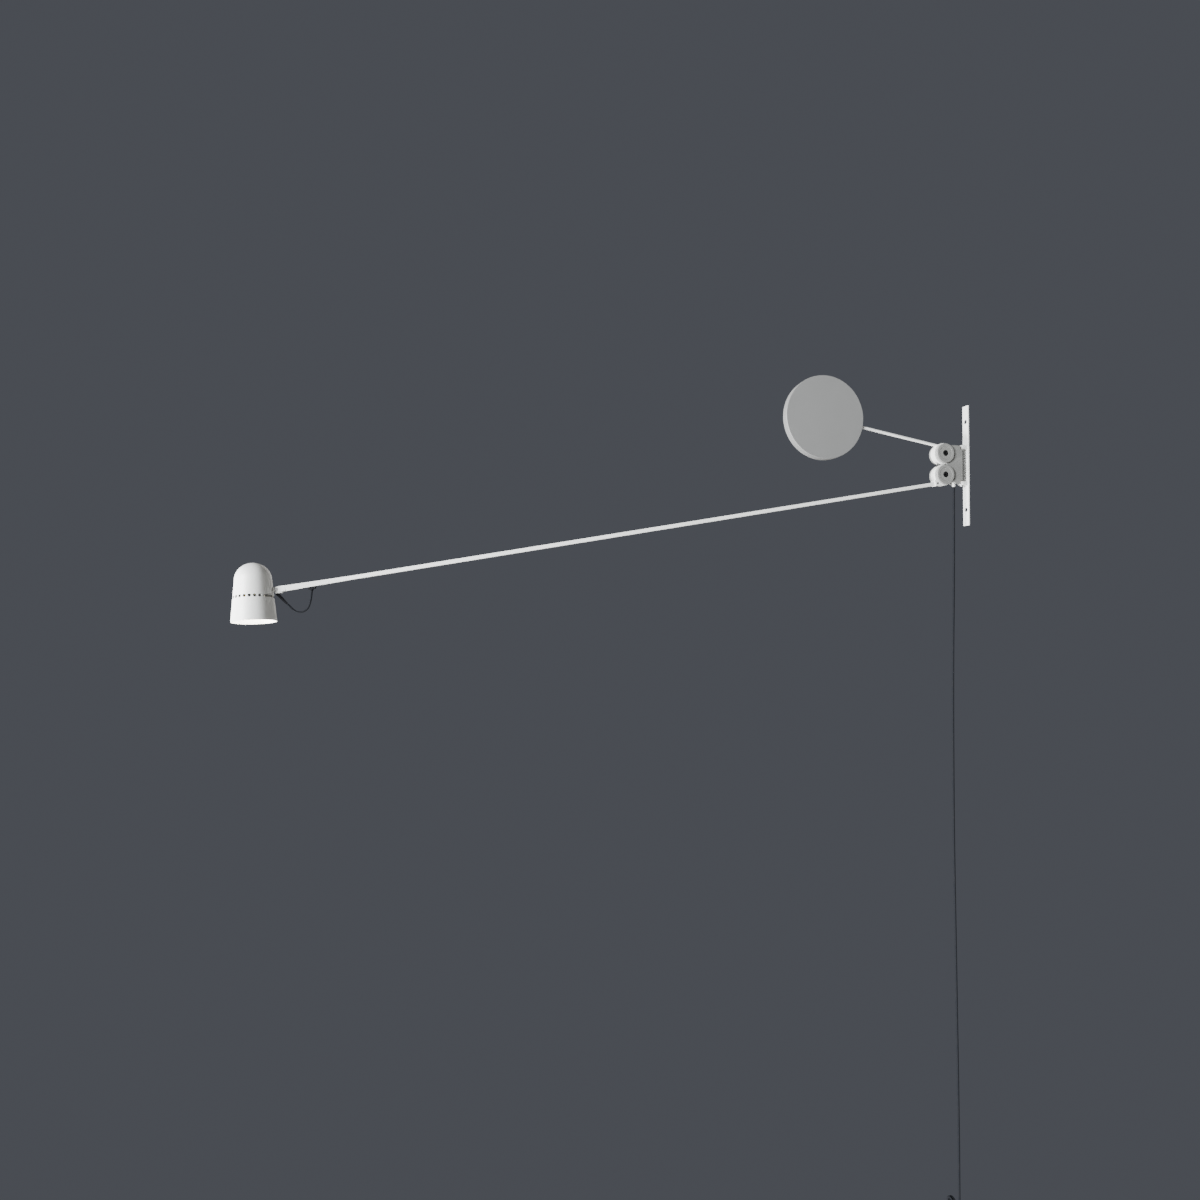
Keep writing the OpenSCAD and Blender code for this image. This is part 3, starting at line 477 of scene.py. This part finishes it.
FINISHES = {
    "white_paint": finish(
        "white_powder_coat", (0.83, 0.83, 0.81), (0.77, 0.77, 0.745), (0.34, 0.46),
        grain=900, bump=0.10, depth=0.0002, dust=0.25),
    # Counterweight: this dark grey is painted shade. Its faces, which turn away from the light, are darkened to
    # the shade they stand in.
    "weight_paint": finish(
        "counterweight_painted_shade", (0.205, 0.205, 0.203), (0.185, 0.185, 0.182), (0.40, 0.52),
        drift_scale=9, grain=420, bump=0.14, depth=0.0004, dust=0.3),
    # Hub caps: this dark grey is painted shade. The front faces are darkened to the shade they are in, away from
    # the light.
    "cap_paint": finish(
        "cap_painted_shade", (0.24, 0.24, 0.232), (0.215, 0.215, 0.207), (0.38, 0.50),
        drift_scale=30, grain=900, bump=0.08, dust=0.2),
    "bright_steel": finish(
        "turned_steel", (0.60, 0.60, 0.61), (0.50, 0.50, 0.52), (0.18, 0.32),
        metallic=1.0, grain=300, stretch=(1, 8, 8), bump=0.08),
    "black_steel": finish(
        "black_oxide_steel", (0.008, 0.008, 0.009), (0.014, 0.013, 0.012), (0.5, 0.65),
        drift_scale=120, specular=0.1, grain=900, bump=0.06),
    "gear_steel": finish(
        "milled_steel", (0.42, 0.42, 0.43), (0.33, 0.33, 0.33), (0.28, 0.40),
        metallic=1.0, grain=260, stretch=(1, 10, 1), bump=0.1),
    "bronze": finish(
        "sintered_bronze", (0.50, 0.33, 0.16), (0.40, 0.25, 0.12), (0.40, 0.55),
        metallic=1.0, grain=1500, bump=0.3),
    "white_plastic": finish(
        "white_moulding", (0.80, 0.80, 0.785), (0.76, 0.76, 0.74), (0.42, 0.52),
        grain=1400, bump=0.08),
    "black_plastic": finish(
        "black_moulding", (0.012, 0.012, 0.014), (0.018, 0.018, 0.02), (0.6, 0.75),
        specular=0.04, grain=1600, bump=0.2),
    "cable_black": finish(
        "cable_sheath", (0.014, 0.015, 0.018), (0.020, 0.020, 0.022), (0.70, 0.85),
        drift_scale=40, specular=0.0, grain=500, stretch=(4, 4, 0.4), bump=0.15),
    "bushing_plastic": finish(
        "bearing_plastic", (0.08, 0.08, 0.085), (0.10, 0.10, 0.10), (0.35, 0.5),
        grain=1200, bump=0.1),
    "heat_sink_metal": finish(
        "die_cast_aluminium", (0.62, 0.63, 0.64), (0.54, 0.55, 0.56), (0.40, 0.58),
        metallic=1.0, grain=800, bump=0.25),
    "board_white": finish(
        "solder_mask", (0.78, 0.78, 0.76), (0.72, 0.72, 0.70), (0.3, 0.4),
        grain=1000, bump=0.05),
    "phosphor": finish(
        "cast_phosphor", (0.92, 0.72, 0.25), (0.88, 0.66, 0.2), (0.25, 0.35),
        grain=1500, bump=0.1, glow=((1.0, 0.88, 0.66), 4.0)),
    # Reflector: dark grey metal. Its darkness is painted shade for the inside of the head, which is seen through
    # the vents.
    "reflector_metal": finish(
        "reflector_painted_shade", (0.30, 0.30, 0.31), (0.26, 0.26, 0.27), (0.2, 0.3),
        metallic=1.0, grain=700, bump=0.04),
    "diffuser_lit": finish(
        "frosted_diffuser", (0.95, 0.94, 0.90), (0.93, 0.91, 0.87), (0.5, 0.6),
        grain=1500, bump=0.1, glow=((1.0, 0.94, 0.83), 26.0)),
    "plug_plastic": finish(
        "plug_moulding", (0.022, 0.022, 0.024), (0.032, 0.031, 0.03), (0.38, 0.5),
        grain=1300, bump=0.15, dust=0.1),
    "plug_metal": finish(
        "nickel_plate", (0.66, 0.64, 0.60), (0.58, 0.56, 0.52), (0.14, 0.26),
        metallic=1.0, grain=500, stretch=(1, 1, 6), bump=0.05),
    "tie_fabric": woven(
        "hook_strap", (0.03, 0.03, 0.033), (0.05, 0.05, 0.05), wave_l=0.0012),
}

for entry in frame["record"]["subparts"]:
    dress(nodes[entry["node"]], FINISHES[entry["material_slot"]])


# ---------------------------------------------------------------- pieces on the cords

def lathe(name, profile, place, sides=48):
    """A turned piece: distances along and radii, placed by a matrix whose Z is the axis."""
    bm = bmesh.new()
    rings = [[bm.verts.new(place @ Vector((r*cos(2*pi*k/sides), r*sin(2*pi*k/sides), z)))
              for k in range(sides)]
             for z, r in profile]
    skin(bm, rings)
    return from_bmesh(name, bm)


def ribbed(length, r_from, r_to, ribs, groove):
    """The outline of a tapered sleeve with rounded ribs."""
    steps = ribs*10
    out = []
    for i in range(steps + 1):
        t = i/steps
        r = r_from + (r_to - r_from)*t
        wave = 0.5 - 0.5*cos(2*pi*ribs*t)
        fade = min(1.0, 5*t, 6*(1 - t))
        out.append((length*t, r - groove*wave*fade))
    return out


def on_soft_box(angle, width, height, power):
    """The point at an angle, in radians, round a box with soft corners."""
    c, s = cos(angle), sin(angle)
    return (abs(c)**(2/power)*width/2*(1 if c >= 0 else -1),
            abs(s)**(2/power)*height/2*(1 if s >= 0 else -1))


def loft(name, sections, count=40):
    """A skin over rings. A section is a height, a centre X, two widths and a corner power."""
    bm = bmesh.new()
    rings = []
    for z, x, width, height, power in sections:
        ring = [on_soft_box(2*pi*k/count, width, height, power) for k in range(count)]
        rings.append([bm.verts.new((x + px, py, z)) for px, py in ring])
    skin(bm, rings)
    return from_bmesh(name, bm)


def boot_place():
    """The boot's start under the neck, with Z along the boot."""
    neck = (Matrix.Translation(joint_place("head_tilt"))
            @ Matrix.Rotation(radians(-ARM_DROP), 4, "Y")
            @ Matrix.Rotation(radians(-HEAD_TURN), 4, "X"))
    return (neck @ Matrix.Translation((0, 0, -BOOT_START))
            @ Matrix.Rotation(radians(90 + BOOT_ANGLE), 4, "Y"))


boot_collar = (-0.0005, 0.0030)
boot_sleeve = ribbed(BOOT_L, r_from=0.0040, r_to=0.0025, ribs=7, groove=0.0005)
jumper_boot = lathe("jumper_boot", [boot_collar] + boot_sleeve, boot_place())
dress(jumper_boot, FINISHES["black_plastic"])


# The plug's body: share of its length, shares of its thickness and width, corner power
PLUG_OUTLINE = [
    (0.03, 0.82, 0.52, 2.4), (0.10, 0.92, 0.66, 2.8), (0.22, 0.98, 0.86, 3.4),
    (0.32, 1.0, 0.96, 4.0), (0.42, 1.0, 1.0, 4.5), (0.70, 1.0, 1.0, 4.5),
    (0.90, 1.0, 1.0, 4.5), (0.97, 0.97, 0.98, 4.5), (1.0, 0.90, 0.94, 4.5),
]


def make_plug():
    """A moulded plug: ribbed relief, waist and body in one skin."""
    play = 0.0002
    round_power = 2
    x = HANK_X - HANK_TURNS*MAINS_D
    top = HANK_TOP - HANK_RUN - TAIL_DROP
    sections = [(top + play, x, MAINS_D + play, MAINS_D + play, round_power)]
    for z, r in ribbed(RELIEF_L, r_from=0.0039, r_to=0.0058, ribs=5, groove=0.0006):
        sections.append((top - z, x, 2*r, 2*r, round_power))
    body = top - RELIEF_L
    for share, thick, wide, power in PLUG_OUTLINE:
        sections.append((body - PLUG_L*share, x, PLUG_T*thick, PLUG_W*wide, power))
    return loft("mains_plug", sections)


mains_plug = make_plug()
dress(mains_plug, FINISHES["plug_plastic"])


def make_tie():
    """A strap round the hank, with its free end lying on it."""
    play = 0.0006
    tall = 0.014
    thick = 0.0011
    corner_power = 7
    start_angle = -0.7    # radians
    steps = 72
    overlap = 12
    rise = 3
    deep = (HANK_TURNS + 1)*MAINS_D + play
    wide = 2*HANK_BEND + MAINS_D + play
    centre = Vector((HANK_X - HANK_TURNS*MAINS_D/2, HANK_BEND, HANK_TOP - HANK_RUN/2))
    bm = bmesh.new()
    rows = []
    for i in range(steps + overlap + 1):
        a = 2*pi*i/steps + start_angle
        lift = thick*min(1.0, max(0.0, (i - steps + rise)/rise))
        ring = []
        for grow, z in ((0, -tall/2), (0, tall/2), (thick, tall/2), (thick, -tall/2)):
            out = 2*(lift + grow)
            x, y = on_soft_box(a, deep + out, wide + out, corner_power)
            ring.append(bm.verts.new(centre + Vector((x, y, z))))
        rows.append(ring)
    skin(bm, rows)
    return from_bmesh("hank_strap", bm, smooth=False)


hank_strap = make_tie()
dress(hank_strap, FINISHES["tie_fabric"])
dress(mains_lead, FINISHES["cable_black"])
dress(jumper_lead, FINISHES["cable_black"])


# ---------------------------------------------------------------- what rides on what

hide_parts("mains_cord", "mains_hank")
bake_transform(mains_lead)

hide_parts("jumper_cable")
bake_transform(jumper_lead)

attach(jumper_boot, "neck")
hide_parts("cable_boot")

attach(mains_plug, "swivel")
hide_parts("plug_body")

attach(hank_strap, "swivel")
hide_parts("hank_tie")


# ---------------------------------------------------------------- floor and lights

def make_floor():
    """A pale floor under the lamp. It ends just behind the lamp, below the camera's view."""
    gap = 0.03
    near, far, left, right = -0.6, 2.2, -1.9, 2.7
    yaw = radians(VIEW_YAW)
    ahead = Vector((sin(yaw), cos(yaw), 0))
    level = Vector((cos(yaw), -sin(yaw), 0))
    start = Vector((EYE[0], EYE[1], cad_low[2] - gap))
    bm = bmesh.new()
    corners = [start + ahead*depth + level*side
               for depth, side in ((near, left), (far, left), (far, right), (near, right))]
    bm.faces.new([bm.verts.new(corner) for corner in corners])
    floor = from_bmesh("floor", bm, smooth=False)
    dress(floor, finish("pale_floor", (0.62, 0.62, 0.61), (0.58, 0.58, 0.57), (0.7, 0.8),
                        drift_scale=2, grain=60, bump=0.03))


def area_light(name, place, aim, size, power, colour):
    """A round light at a place, turned to its aim. Its power is in watts."""
    data = bpy.data.lights.new(name, "AREA")
    data.shape = "DISK"
    data.size = size
    data.energy = power
    data.color = colour
    light = bpy.data.objects.new(name, data)
    light.location = place
    light.rotation_euler = (Vector(aim) - Vector(place)).to_track_quat("-Z", "Y").to_euler()
    bpy.context.scene.collection.objects.link(light)


def make_room():
    """A dark room as the camera sees it, with a soft even light in it."""
    wall_colour = (0.0742, 0.0790, 0.0926, 1)
    light_colour = (1.0, 0.985, 0.95, 1)
    light_strength = 0.20
    world = bpy.data.worlds.new("room")
    world.use_nodes = True
    tree = world.node_tree
    seen = tree.nodes["Background"]
    seen.inputs["Color"].default_value = wall_colour
    seen.inputs["Strength"].default_value = 1.0
    ambient = add(tree, "ShaderNodeBackground")
    ambient.inputs["Color"].default_value = light_colour
    ambient.inputs["Strength"].default_value = light_strength
    ray = add(tree, "ShaderNodeLightPath")
    mix = add(tree, "ShaderNodeMixShader")
    tree.links.new(ray.outputs["Is Camera Ray"], mix.inputs["Fac"])
    tree.links.new(ambient.outputs["Background"], mix.inputs[1])
    tree.links.new(seen.outputs["Background"], mix.inputs[2])
    tree.links.new(mix.outputs["Shader"], tree.nodes["World Output"].inputs["Surface"])
    bpy.context.scene.world = world


make_floor()
make_room()
area_light("window", place=(-5.4, -3.0, 0.4), aim=(-0.9, 0, -0.2), size=2.0, power=900,
           colour=(0.95, 0.98, 1.0))
area_light("side", place=(-4.2, -0.4, -1.7), aim=(-0.6, 0, 0.0), size=1.2, power=430,
           colour=(1.0, 1.0, 1.0))
area_light("back", place=(-0.6, 4.2, 1.2), aim=(-0.9, 0, -0.3), size=3.0, power=40,
           colour=(1.0, 0.99, 0.96))
